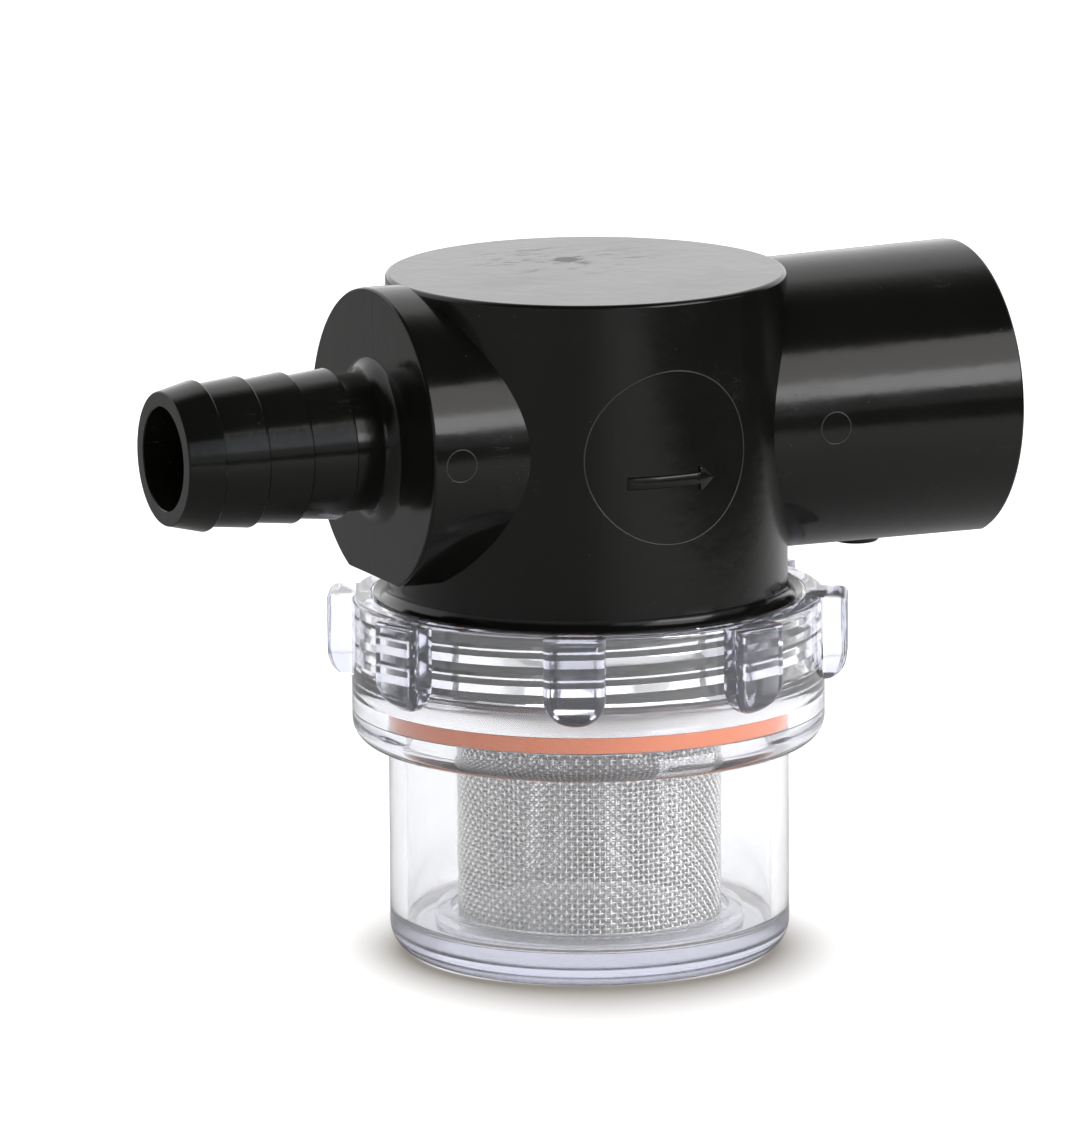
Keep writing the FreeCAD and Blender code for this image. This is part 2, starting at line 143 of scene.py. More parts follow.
def combine(body, tool, operation):
    """Joins a tool to a body or cuts it away, welds slivers, and throws the tool away."""
    step = body.modifiers.new("combine", "BOOLEAN")
    step.object = tool
    step.operation = operation
    step.solver = "EXACT"
    step.material_mode = "INDEX"
    graph = bpy.context.evaluated_depsgraph_get()
    data = bpy.data.meshes.new_from_object(body.evaluated_get(graph))
    body.modifiers.clear()
    mesh = bmesh.new()
    mesh.from_mesh(data)
    bmesh.ops.remove_doubles(mesh, verts=mesh.verts, dist=SLIVER)
    mesh.to_mesh(data)
    mesh.free()
    body.data = data
    bpy.data.objects.remove(tool)


def true_normals(body, soft=28.0):
    """Gives every corner the normal of the turned surface it lies on, so that cuts leave no facets."""
    data = body.data
    pole = Vector((0, 0, PORT_HEIGHT * MM))
    limit = math.cos(math.radians(soft))
    on_axis = 2e-4  # metres; nearer than this there is no direction away from the axis
    around = {}
    for face in data.polygons:
        for vertex in face.vertices:
            around.setdefault(vertex, []).append(face.index)

    def outwards(place, family):
        """The direction away from the axis at a place."""
        if family == UPRIGHT:
            return Vector((place.x, place.y, 0))
        return Vector((0, place.y, place.z - pole.z))

    def carried(face, vertex):
        """The face's normal, carried round its axis to one of its corners."""
        family = face.material_index
        if family == FLAT:
            return face.normal
        there = outwards(data.vertices[vertex].co, family)
        if there.length < on_axis:
            return face.normal
        axis = Vector((0, 0, 1)) if family == UPRIGHT else Vector((1, 0, 0))
        along = face.normal.dot(axis)
        away = math.sqrt(max(0.0, 1 - along * along))
        if face.normal.dot(outwards(face.center, family)) < 0:
            away = -away
        return there.normalized() * away + axis * along

    normals = []
    for face in data.polygons:
        for vertex in face.vertices:
            own = carried(face, vertex)
            total = own * face.area
            for other in around[vertex]:
                neighbour = data.polygons[other]
                if other == face.index or neighbour.material_index != face.material_index:
                    continue
                theirs = carried(neighbour, vertex)
                if theirs.dot(own) > limit:
                    total += theirs * neighbour.area
            normals.append(total.normalized())
    data.normals_split_custom_set(normals)
    return body


def paint(body, material):
    """Gives the whole piece one material."""
    for face in body.data.polygons:
        face.material_index = 0
    body.data.materials.clear()
    body.data.materials.append(material)
    return body


def barrel_section(angle):
    """Barrel, flare and threaded skirt, from the middle of the top round to the middle of the foot."""
    return (
        [(0, TOP_HEIGHT)]
        + arc((BARREL_RADIUS - TOP_EDGE, TOP_HEIGHT - TOP_EDGE), TOP_EDGE, 90, 0, 6)
        + [(BARREL_RADIUS, FLARE_HEIGHT)]
        + arc((BARREL_RADIUS + FLARE_ROUND, FLARE_HEIGHT), FLARE_ROUND, 180, 243, 8)[1:]
        + [(FLARE_RADIUS, 36.35), (FLARE_RADIUS, 35.8), (20.4, 35.3)]
        + screw_thread(
            SKIRT_LOW, SKIRT_HIGH, SKIRT_ROOT, SKIRT_CREST, SKIRT_FLAT, SKIRT_FLANK, angle, THREAD_START
        )
        + [(SKIRT_ROOT, 28.75), (PILOT_RADIUS, PILOT_HIGH), (PILOT_RADIUS, 26.25)]
        + [(19.45, FOOT_HEIGHT), (0, FOOT_HEIGHT)]
    )


BARB_TIP, BARB_ROOT = -45.5, 6.8
BARB_CRESTS = (-41.85, -37.2, -32.55, -27.9)
# From each crest down to the next root: radius, and place along the barb counted from the crest.
CREST_FALL = ((7.42, -0.26), (7.45, -0.1), (7.41, 0.0), (7.15, 0.06), (6.97, 0.1))
LAST_FALL = CREST_FALL[:-1] + ((BARB_ROOT, 0.12),)
COLLAR_RADIUS, COLLAR_FACE, COLLAR_BACK = 15.0, -23.25, -12.0
NECK_ROUND, NECK_START = 1.7, -24.95
BODY_RADIUS = 14.35  # of the ports where they run through the barrel
SOCKET_START, SOCKET_ROOT = 13.5, 14.45
SOCKET_END, SOCKET_TIP, SOCKET_MOUTH = 40.6, 14.84, 41.1


def port_section():
    """Barb, neck, collar and socket, from the barb's tip to the socket's mouth."""
    points = [(0, BARB_TIP)] + [(r, -x) for r, x in arc((6.48, 45.33), 0.17, 90, 0, 4)]
    for crest in BARB_CRESTS:
        fall = LAST_FALL if crest == BARB_CRESTS[-1] else CREST_FALL
        points += [(radius, crest + along) for radius, along in fall]
    points += [(BARB_ROOT, NECK_START)]
    points += arc((BARB_ROOT + NECK_ROUND, NECK_START), NECK_ROUND, 180, 90, 14)[1:]
    points += [(14.7, COLLAR_FACE), (14.88, -23.2), (14.97, -23.08), (COLLAR_RADIUS, -22.9)]
    points += [(COLLAR_RADIUS, COLLAR_BACK), (BODY_RADIUS, -8.0), (BODY_RADIUS, 8.0)]
    points += [(SOCKET_ROOT, SOCKET_START), (SOCKET_TIP, SOCKET_END), (14.82, 40.85)]
    points += [(14.7, 41.03), (14.5, SOCKET_MOUTH), (0, SOCKET_MOUTH)]
    return points


CHAMBER_RADIUS, CHAMBER_HIGH = 17.2, 62.0
TUBE_RADIUS, TUBE_BORE, TUBE_LOW, TUBE_HIGH = 13.6, 10.2, 28.0, 63.6
SPIGOT_RADIUS, SPIGOT_HIGH = 12.25, 38.5  # the tube's lower end, which slips into the screen
PIPE_BORE, SOCKET_BORE, BEVEL_RADIUS = 9.3, 8.2, 10.5
HOSE_BORE, HOSE_LEAD_IN = 5.1, 5.18
HOLLOW_SECTION = [
    (0, TUBE_HIGH), (TUBE_BORE, TUBE_HIGH), (TUBE_BORE, 28.15), (10.35, TUBE_LOW), (11.95, TUBE_LOW),
    (SPIGOT_RADIUS, 28.3), (SPIGOT_RADIUS, SPIGOT_HIGH), (TUBE_RADIUS, SPIGOT_HIGH),
    (TUBE_RADIUS, CHAMBER_HIGH), (CHAMBER_RADIUS, CHAMBER_HIGH), (CHAMBER_RADIUS, 25.0), (0, 25.0),
]
SOCKET_SECTION = [
    (0, 6.0), (SOCKET_BORE, 6.0), (SOCKET_BORE, 25.6), (PIPE_BORE, 26.2), (PIPE_BORE, 39.9),
    (BEVEL_RADIUS, SOCKET_MOUTH), (BEVEL_RADIUS, 43.0), (0, 43.0),
]
HOSE_BORE_SECTION = [
    (0, -47), (HOSE_LEAD_IN, -47), (HOSE_LEAD_IN, BARB_TIP), (HOSE_BORE, -45.4), (HOSE_BORE, -15.4),
    (0, -15.4),
]
CROSS_TUBE_SECTION = [(0, 9.0), (10.4, 9.0), (10.4, 18.6), (0, 18.6)]
PORTS_FLAT = 39.8  # height at which the ports are flat below
PAD_RADIUS, PAD_LOW, PAD_PLACE = 2.35, 38.6, 29.6


def flattened(body, height):
    """Cuts the ports flat below a height, as the moulding is."""
    mesh = bmesh.new()
    mesh.from_mesh(body.data)
    cut = bmesh.ops.bisect_plane(
        mesh, geom=mesh.verts[:] + mesh.edges[:] + mesh.faces[:], dist=HAIR,
        plane_co=(0, 0, height * MM), plane_no=(0, 0, -1), clear_outer=True,
    )
    edges = [e for e in cut["geom_cut"] if isinstance(e, bmesh.types.BMEdge)]
    filled = bmesh.ops.holes_fill(mesh, edges=edges, sides=0)
    for face in filled["faces"]:
        face.material_index = FLAT
        face.smooth = True
    bmesh.ops.recalc_face_normals(mesh, faces=mesh.faces)
    mesh.to_mesh(body.data)
    mesh.free()


def on_barrel(across, height, lift):
    """A point of the barrel's front skin, lifted off it."""
    radius = BARREL_RADIUS + lift
    return Vector((across, -math.sqrt(radius * radius - across * across), height)) * MM


def on_port(across, height, lift):
    """A point of the front skin of the collar or the tapered socket, lifted off it."""
    if across < 0:
        radius = COLLAR_RADIUS
    else:
        taper = (SOCKET_TIP - SOCKET_ROOT) / (SOCKET_END - SOCKET_START)
        radius = SOCKET_ROOT + (across - SOCKET_START) * taper
    up = height - PORT_HEIGHT
    return Vector((across, -math.sqrt((radius + lift) ** 2 - up * up), height)) * MM


def witness_ring(name, skin, across, height, radius, steps=96):
    """A fine raised circle, such as a core pin or an insert leaves in a moulding."""
    width, rise, root = 0.2, 0.08, -0.03
    section = (
        (radius - width / 2, root), (radius - width / 5, rise),
        (radius + width / 5, rise), (radius + width / 2, root),
    )
    mesh = bmesh.new()
    rings = []
    for step in range(steps):
        angle = math.tau * step / steps
        rings.append([
            mesh.verts.new(skin(across + r * math.cos(angle), height + r * math.sin(angle), lift))
            for r, lift in section
        ])
    for i in range(steps):
        this, following = rings[i], rings[(i + 1) % steps]
        for a in range(4):
            b = (a + 1) % 4
            mesh.faces.new((this[a], this[b], following[b], following[a]))
    bmesh.ops.recalc_face_normals(mesh, faces=mesh.faces)
    return finished(name, mesh, FLAT)


head = turned("head_moulding", barrel_section)
ports = turned("ports", port_section(), axis=ALONG_FLOW, height=PORT_HEIGHT)
flattened(ports, PORTS_FLAT)
combine(head, ports, "UNION")
pad = turned(
    "pad",
    [(0, 45), (PAD_RADIUS, 45), (PAD_RADIUS, 38.95)]
    + arc((PAD_RADIUS - 0.35, 38.95), 0.35, 0, -90, 4)[1:] + [(0, PAD_LOW)],
    steps=48,
)
for vertex in pad.data.vertices:
    vertex.co.x += PAD_PLACE * MM
for face in pad.data.polygons:
    face.material_index = FLAT
combine(head, pad, "UNION")
combine(head, turned("hollow", HOLLOW_SECTION, steps=96), "DIFFERENCE")
combine(head, turned("cross_tube", CROSS_TUBE_SECTION, 96, ALONG_FLOW, PORT_HEIGHT), "UNION")
combine(head, turned("socket_bore", SOCKET_SECTION, 128, ALONG_FLOW, PORT_HEIGHT), "DIFFERENCE")
combine(head, turned("barb_bore", HOSE_BORE_SECTION, 96, ALONG_FLOW, PORT_HEIGHT), "DIFFERENCE")
true_normals(head)


def wave_noise(tree, place, scale, detail=3.0, rough=0.55):
    """A noise that lies in the material's own space, in millimetres."""
    noise = tree.nodes.new("ShaderNodeTexNoise")
    noise.inputs["Scale"].default_value = scale
    noise.inputs["Detail"].default_value = detail
    noise.inputs["Roughness"].default_value = rough
    tree.links.new(place, noise.inputs["Vector"])
    return noise


def worked_out(tree, operation, *values):
    """A Math node with its inputs linked or set."""
    node = tree.nodes.new("ShaderNodeMath")
    node.operation = operation
    for socket, value in zip(node.inputs, values):
        if isinstance(value, (int, float)):
            socket.default_value = value
        else:
            tree.links.new(value, socket)
    return node.outputs[0]


def spread(tree, value, low, high, to_low, to_high):
    """A Map Range node."""
    node = tree.nodes.new("ShaderNodeMapRange")
    tree.links.new(value, node.inputs["Value"])
    for name, number in (("From Min", low), ("From Max", high), ("To Min", to_low), ("To Max", to_high)):
        node.inputs[name].default_value = number
    return node.outputs["Result"]


def blended(tree, factor, first, second):
    """A Mix node for colours; each colour is set or linked, and the factor is linked."""
    node = tree.nodes.new("ShaderNodeMix")
    node.data_type = "RGBA"
    tree.links.new(factor, node.inputs["Factor"])
    for name, colour in (("A", first), ("B", second)):
        if isinstance(colour, tuple):
            node.inputs[name].default_value = (*colour, 1)
        else:
            tree.links.new(colour, node.inputs[name])
    return node.outputs["Result"]


def stretched(tree, place, scale, turn=(0, 0, 0)):
    """A place that is turned and scaled, so that a noise on it runs one way."""
    node = tree.nodes.new("ShaderNodeMapping")
    node.inputs["Rotation"].default_value = turn
    node.inputs["Scale"].default_value = scale
    tree.links.new(place, node.inputs["Vector"])
    return node.outputs["Vector"]


def handled_skin():
    """A group for moulded plastic: faint flow waves, fine scratches and dust specks, in millimetres."""
    group = bpy.data.node_groups.new("handled_skin", "ShaderNodeTree")
    group.interface.new_socket("Place", in_out="INPUT", socket_type="NodeSocketVector")
    for name in ("Height", "Specks", "Scratches", "Cloud"):
        group.interface.new_socket(name, in_out="OUTPUT", socket_type="NodeSocketFloat")
    place = group.nodes.new("NodeGroupInput").outputs["Place"]
    leave = group.nodes.new("NodeGroupOutput")

    cloud = wave_noise(group, place, 0.11, 2.0)
    flow = wave_noise(group, place, 0.5, 2.0)
    grain = wave_noise(group, place, 9.0, 2.0, 0.7)

    cells = group.nodes.new("ShaderNodeTexVoronoi")
    cells.inputs["Scale"].default_value = 0.42
    group.links.new(place, cells.inputs["Vector"])
    speck = spread(group, cells.outputs["Distance"], 0.036, 0.02, 0, 0.6)

    bent = group.nodes.new("ShaderNodeVectorMath")
    bent.operation = "MULTIPLY_ADD"
    bent.inputs[1].default_value = (1.4, 1.4, 1.4)
    group.links.new(flow.outputs["Color"], bent.inputs[0])
    group.links.new(place, bent.inputs[2])
    lines = wave_noise(group, stretched(group, bent.outputs[0], (0.06, 0.9, 0.5), (0.5, 0.9, 0.35)), 2.2, 1.0)
    off_middle = worked_out(group, "ABSOLUTE", worked_out(group, "SUBTRACT", lines.outputs["Fac"], 0.5))
    scratch = worked_out(
        group, "MULTIPLY", spread(group, off_middle, 0.0022, 0.0, 0, 1),
        spread(group, cloud.outputs["Fac"], 0.58, 0.66, 0, 1),
    )
    height = worked_out(
        group, "ADD",
        worked_out(group, "MULTIPLY", flow.outputs["Fac"], 0.016),
        worked_out(group, "MULTIPLY", grain.outputs["Fac"], 0.0008),
    )
    height = worked_out(group, "SUBTRACT", height, worked_out(group, "MULTIPLY", scratch, 0.004))
    group.links.new(height, leave.inputs["Height"])
    group.links.new(speck, leave.inputs["Specks"])
    group.links.new(scratch, leave.inputs["Scratches"])
    group.links.new(cloud.outputs["Fac"], leave.inputs["Cloud"])
    return group


SKIN = handled_skin()


def new_material(name):
    """A material with its Principled shader and a place in millimetres."""
    material = bpy.data.materials.new(name)
    material.use_nodes = True
    tree = material.node_tree
    shader = tree.nodes["Principled BSDF"]
    coordinates = tree.nodes.new("ShaderNodeTexCoord")
    scale = tree.nodes.new("ShaderNodeVectorMath")
    scale.operation = "SCALE"
    scale.inputs["Scale"].default_value = 1 / MM
    tree.links.new(coordinates.outputs["Object"], scale.inputs[0])
    return material, tree, shader, scale.outputs[0]


def skin_on(tree, place):
    """The skin's group, placed in a material."""
    skin = tree.nodes.new("ShaderNodeGroup")
    skin.node_tree = SKIN
    tree.links.new(place, skin.inputs["Place"])
    return skin.outputs


def parts_of(tree, place):
    """A place's x, y and z."""
    parts = tree.nodes.new("ShaderNodeSeparateXYZ")
    tree.links.new(place, parts.inputs[0])
    return parts.outputs


def relief(tree, shader, height, depth, strength=1.0):
    """Bump from a height, with its depth in millimetres."""
    bump = tree.nodes.new("ShaderNodeBump")
    bump.inputs["Strength"].default_value = strength
    bump.inputs["Distance"].default_value = depth * MM
    tree.links.new(height, bump.inputs["Height"])
    tree.links.new(bump.outputs["Normal"], shader.inputs["Normal"])


GATE_PLACE = (1.0, 6.7, TOP_HEIGHT)  # the point on the top where the plastic ran in
GATE_RADIUS, SMEAR_RADIUS = 1.6, 11.0


def gate_marks(tree, place, z):
    """Mask of the gate's spot and of the smeared, pitted plastic round it, on the top only."""
    gate = tree.nodes.new("ShaderNodeVectorMath")
    gate.operation = "DISTANCE"
    gate.inputs[1].default_value = GATE_PLACE
    tree.links.new(place, gate.inputs[0])
    smear = wave_noise(tree, stretched(tree, place, (0.55, 1.5, 1.0)), 0.55, 4.0, 0.7)
    near = spread(tree, gate.outputs["Value"], SMEAR_RADIUS, 1.5, 0, 1)
    blotch = worked_out(tree, "MULTIPLY", near, spread(tree, smear.outputs["Fac"], 0.56, 0.66, 0, 1))
    spot = spread(tree, gate.outputs["Value"], GATE_RADIUS, 1.0, 0, 1)
    on_top = worked_out(tree, "GREATER_THAN", z, TOP_HEIGHT - 0.05)
    return worked_out(tree, "MULTIPLY", worked_out(tree, "MAXIMUM", blotch, spot), on_top)


def black_plastic(name, marks=True, painted_sheen=0.0):
    """Glossy black moulded plastic, a little green in its greys; its last argument paints it lighter all
    over, a painted highlight.
    """
    material, tree, shader, place = new_material(name)
    shader.inputs["IOR"].default_value = 1.32
    skin = skin_on(tree, place)
    # The last argument lightens both greys: a painted highlight.
    dark = (0.0024 + painted_sheen, 0.0025 + painted_sheen, 0.0020 + painted_sheen)
    pale = (0.0038 + painted_sheen, 0.0038 + painted_sheen, 0.0032 + painted_sheen)
    dust = worked_out(
        tree, "MULTIPLY", worked_out(tree, "MAXIMUM", skin["Specks"], skin["Scratches"]), 0.5
    )
    colour = blended(tree, dust, blended(tree, skin["Cloud"], dark, pale), (0.10, 0.10, 0.095))

    rough = spread(tree, skin["Cloud"], 0.3, 0.7, 0.12, 0.19)
    rough = worked_out(tree, "ADD", rough, worked_out(tree, "MULTIPLY", skin["Scratches"], 0.25))
    height = skin["Height"]
    if marks:
        x, y, z = parts_of(tree, place)
        seam = spread(tree, worked_out(tree, "ABSOLUTE", y), 0.07, 0.02, 0, 1)
        seam = worked_out(tree, "MULTIPLY", seam, worked_out(tree, "LESS_THAN", x, -22.0))
        height = worked_out(tree, "ADD", height, worked_out(tree, "MULTIPLY", seam, 0.02))
        worn = gate_marks(tree, place, z)
        rough = worked_out(tree, "ADD", rough, worked_out(tree, "MULTIPLY", worn, 0.18))
        pitted = wave_noise(tree, place, 2.6, 4.0, 0.7)
        pits = worked_out(tree, "MULTIPLY", pitted.outputs["Fac"], worn)
        height = worked_out(tree, "ADD", height, worked_out(tree, "MULTIPLY", pits, 0.12))
    tree.links.new(colour, shader.inputs["Base Color"])
    tree.links.new(rough, shader.inputs["Roughness"])
    relief(tree, shader, height, 1.0)
    return material


BLACK = black_plastic("black_moulded_plastic")
paint(head, BLACK)
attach(head, "head")
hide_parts("housing")

# A lighter copy of the black plastic, a painted highlight for the fine raised rings below.
SHEEN_PAINTED_PLASTIC = black_plastic("sheen_painted_black_plastic", marks=False, painted_sheen=0.022)
PIN_RADIUS, BADGE_RADIUS = 1.6, 8.6
for ring in (
    witness_ring("collar_mark", on_port, -20.35, 53.1, PIN_RADIUS),
    witness_ring("socket_mark", on_port, 20.35, 53.3, PIN_RADIUS),
    witness_ring("badge_circle", on_barrel, 0.0, 53.0, BADGE_RADIUS, steps=160),
):
    paint(ring, SHEEN_PAINTED_PLASTIC)
    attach(ring, "head")


# ---------------------------------------------------------------- flow arrow
# A plain raised arrow on the front of the barrel shows which way the water goes. It is part of the
# moulding, with soft edges where the mould was cut.

ARROW_HEIGHT = 50.7
ARROW_RISE = 0.2
ARROW_LAYERS = ((0.0, -0.6), (0.0, 0.06), (0.05, ARROW_RISE - 0.05), (0.14, ARROW_RISE))  # inset, lift


def flow_arrow():
    """The arrow as a thin slab that follows the barrel, narrower on top than at its foot."""
    tail, neck, tip, bar, wing = -4.6, 3.0, 4.75, 0.62, 1.2  # ends along the barrel, and half widths
    mesh = bmesh.new()
    layers = []
    for inset, lift in ARROW_LAYERS:
        layer = []
        for side in (1, -1):
            half = (bar - inset) * side
            top = (wing - inset * 1.6) * side
            run = [(tail + inset + (neck - tail) * i / 12, half) for i in range(12)]
            run += [(neck + inset * 0.2, half), (neck + inset * 0.4, top), (neck + 0.35 - inset * 0.2, top)]
            run += [
                (neck + 0.35 + (tip - neck - 0.35 - inset * 1.2) * i / 5, top * (1 - i / 5))
                for i in range(1, 5)
            ]
            if side == 1:
                layer += run + [(tip - inset * 1.4, 0.0)]
            else:
                layer += run[::-1]
        layers.append([mesh.verts.new(on_barrel(x, ARROW_HEIGHT + z, lift)) for x, z in layer])
    count = len(layers[0])
    for lower, upper in zip(layers, layers[1:]):
        for i in range(count):
            j = (i + 1) % count
            mesh.faces.new((lower[i], lower[j], upper[j], upper[i]))
    for layer in (layers[0], layers[-1]):
        for i in range((count - 1) // 2):
            corners = [layer[i], layer[i + 1], layer[-2 - i], layer[-1 - i]]
            corners = list(dict.fromkeys(corners))
            if len(corners) > 2:
                mesh.faces.new(corners)
    bmesh.ops.remove_doubles(mesh, verts=mesh.verts, dist=HAIR)
    bmesh.ops.recalc_face_normals(mesh, faces=mesh.faces)
    return finished("flow_arrow", mesh, FLAT)


arrow = flow_arrow()
paint(arrow, BLACK)
arrow.data.set_sharp_from_angle(angle=math.radians(32))
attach(arrow, "head")


# ---------------------------------------------------------------- pipe thread
# The socket takes a half-inch pipe. Its parallel thread is moulded into the bore behind the mouth's
# bevel, and is seen only from the outlet end.

PIPE_PITCH = 1.814
PIPE_CREST = 8.75
PIPE_LOW, PIPE_HIGH = 26.6, 39.9


def pipe_thread(steps=128):
    """A ridge that winds along the socket's bore and fades out at both ends."""
    root = PIPE_BORE + 0.05
    mesh = bmesh.new()
    rows = []
    total = int((PIPE_HIGH - PIPE_LOW - PIPE_PITCH) / PIPE_PITCH * steps)
    for step in range(total + 1):
        angle = math.tau * step / steps
        along = PIPE_LOW + PIPE_PITCH * step / steps
        fade = min(1.0, step / 24, (total - step) / 24)
        crest = root + (PIPE_CREST - root) * fade
        rows.append([
            mesh.verts.new(Vector((
                along + PIPE_PITCH * shift, reach * math.cos(angle), PORT_HEIGHT + reach * math.sin(angle)
            )) * MM)
            for shift, reach in ((0.05, root), (0.42, crest), (0.58, crest), (0.95, root))
        ])
    for before, after in zip(rows, rows[1:]):
        for i in range(4):
            j = (i + 1) % 4
            mesh.faces.new((before[i], before[j], after[j], after[i]))
    mesh.faces.new(rows[0])
    mesh.faces.new(rows[-1])
    bmesh.ops.recalc_face_normals(mesh, faces=mesh.faces)
    return finished("pipe_thread", mesh, ALONG_FLOW)


socket_thread = pipe_thread()
true_normals(socket_thread)
paint(socket_thread, BLACK)
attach(socket_thread, "head")


# ---------------------------------------------------------------- screen
# A strip of plain woven stainless wire cloth, rolled into a cylinder and joined where its two edges
# lap at the back. It slips over the head's tube and keeps dirt in the bowl's outer space.

CLOTH_RADIUS = 12.88
CLOTH_LOW, CLOTH_HIGH = 3.75, 38.15
WIRES_ROUND = 150
ROW_PITCH = 0.525
ROWS = round((CLOTH_HIGH - CLOTH_LOW) / ROW_PITCH)
WIRE_RADIUS = 0.138
UPRIGHT_WEAVE, LEVEL_WEAVE = 0.15, 0.10  # how far each kind of wire swings out and in
LAP = range(24, 31)  # the wires at the back where the two edges overlap
LAP_RADIUS = CLOTH_RADIUS + 0.42


def wire(mesh, line, outward, closed, sides=4):
    """A wire along a line of points; outward gives each point's direction away from the axis."""
    rows = []
    count = len(line)
    for i, point in enumerate(line):
        if closed:
            ahead, behind = line[(i + 1) % count], line[i - 1]
        else:
            ahead, behind = line[min(i + 1, count - 1)], line[max(i - 1, 0)]
        forward = (ahead - behind).normalized()
        out = outward[i]
        side = forward.cross(out).normalized()
        over = side.cross(forward)
        rows.append([
            mesh.verts.new((point + (over * math.cos(a) + side * math.sin(a)) * WIRE_RADIUS) * MM)
            for a in (math.tau * k / sides for k in range(sides))
        ])
    pairs = list(zip(rows, rows[1:])) + ([(rows[-1], rows[0])] if closed else [])
    for before, after in pairs:
        for a in range(sides):
            b = (a + 1) % sides
            mesh.faces.new((before[a], before[b], after[b], after[a]))
    if not closed:
        mesh.faces.new(rows[0])
        mesh.faces.new(rows[-1][::-1])


def uprights(mesh, radius, wires):
    """The upright wires, each passing in front of one row and behind the next."""
    for index in wires:
        angle = math.tau * index / WIRES_ROUND
        out = Vector((math.cos(angle), math.sin(angle), 0))
        across = Vector((-math.sin(angle), math.cos(angle), 0))
        lean = chance.uniform(-0.015, 0.015)
        phase = 1 if index % 2 else -1
        line = []
        for step in range(ROWS * 2 + 1):
            swing = phase * math.cos(math.pi * step / 2)
            sway = lean * math.sin(step * 0.21 + index)
            height = CLOTH_LOW + step * ROW_PITCH / 2
            line.append(out * (radius + swing * UPRIGHT_WEAVE) + across * sway + Vector((0, 0, height)))
        wire(mesh, line, [out] * len(line), closed=False)


def rounds(mesh, radius, start, wires, closed):
    """The level wires, which lie the other way at each crossing."""
    for row in range(ROWS + 1):
        phase = -1 if row % 2 else 1
        sag = chance.uniform(-0.012, 0.012)
        line, outward = [], []
        for step in range(wires * 2 + (0 if closed else 1)):
            angle = math.tau * (start + step / 2) / WIRES_ROUND
            out = Vector((math.cos(angle), math.sin(angle), 0))
            swing = 0
            if step % 2 == 0:
                swing = -phase if (start + step / 2) % 2 == 0 else phase
            height = CLOTH_LOW + row * ROW_PITCH + sag * math.sin(angle * 3 + row)
            height = min(max(height, CLOTH_LOW + 0.09), CLOTH_HIGH - 0.09)
            line.append(out * (radius + swing * LEVEL_WEAVE) + Vector((0, 0, height)))
            outward.append(out)
        wire(mesh, line, outward, closed)


def from_axis(tree, place):
    """How far a place lies from the upright axis, and its height."""
    x, y, z = parts_of(tree, place)
    squares = worked_out(
        tree, "ADD", worked_out(tree, "MULTIPLY", x, x), worked_out(tree, "MULTIPLY", y, y)
    )
    return worked_out(tree, "SQRT", squares), z


def steel_wire(name):
    """Bright drawn stainless wire with faint die lines; painted highlights on crowns, painted shade in
    crossings.
    """
    material, tree, shader, place = new_material(name)
    shader.inputs["Metallic"].default_value = 1.0
    blotches = wave_noise(tree, place, 0.35, 3.0)
    across, _ = from_axis(tree, place)
    # Painted highlight and shade: the wire is lighter the further it lies from the axis, so the crowns shine
    # and the crossings are dark.
    painted_crown_highlight = spread(tree, across, CLOTH_RADIUS + 0.06, CLOTH_RADIUS + 0.25, 0, 0.85)
    mottle = spread(tree, blotches.outputs["Fac"], 0.35, 0.65, 0, 0.15)
    tone = blended(tree, worked_out(tree, "ADD", painted_crown_highlight, mottle), (0.55, 0.545, 0.53), (1.0, 0.99, 0.97))
    tree.links.new(tone, shader.inputs["Base Color"])
    fine = wave_noise(tree, place, 14.0, 2.0)
    tree.links.new(spread(tree, fine.outputs["Fac"], 0.3, 0.7, 0.22, 0.32), shader.inputs["Roughness"])
    relief(tree, shader, fine.outputs["Fac"], 0.01, strength=0.6)
    return material


STEEL = steel_wire("drawn_stainless_wire")
chance = random.Random(11)

cloth = bmesh.new()
uprights(cloth, CLOTH_RADIUS, range(WIRES_ROUND))
uprights(cloth, LAP_RADIUS, [i + 0.5 for i in LAP[:-1]])
bmesh.ops.recalc_face_normals(cloth, faces=cloth.faces)
screen_uprights = finished("screen_uprights", cloth, FLAT)
cloth = bmesh.new()
rounds(cloth, CLOTH_RADIUS, 0, WIRES_ROUND, closed=True)
rounds(cloth, LAP_RADIUS, LAP[0], len(LAP) - 1, closed=False)
bmesh.ops.recalc_face_normals(cloth, faces=cloth.faces)
screen_rounds = finished("screen_rounds", cloth, FLAT)
for piece in (screen_uprights, screen_rounds):
    paint(piece, STEEL)
    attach(piece, "carriage")
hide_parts("screen")


# ---------------------------------------------------------------- gasket
# A flat ring of orange silicone rubber, cut from sheet, which lies on the bowl's inner step and is
# pressed by the head's foot when the bowl is screwed home.

GASKET_OUTER, GASKET_INNER, GASKET_LOW, GASKET_HIGH = 19.8, 17.4, 24.1, 25.7


def gasket_section():
    """Section with edges slightly softened by the cut."""
    soft = 0.14
    points = []
    for x, z, start in (
        (GASKET_OUTER - soft, GASKET_LOW + soft, -90), (GASKET_OUTER - soft, GASKET_HIGH - soft, 0),
        (GASKET_INNER + soft, GASKET_HIGH - soft, 90), (GASKET_INNER + soft, GASKET_LOW + soft, 180),
    ):
        points += arc((x, z), soft, start, start + 90, 3)
    return points


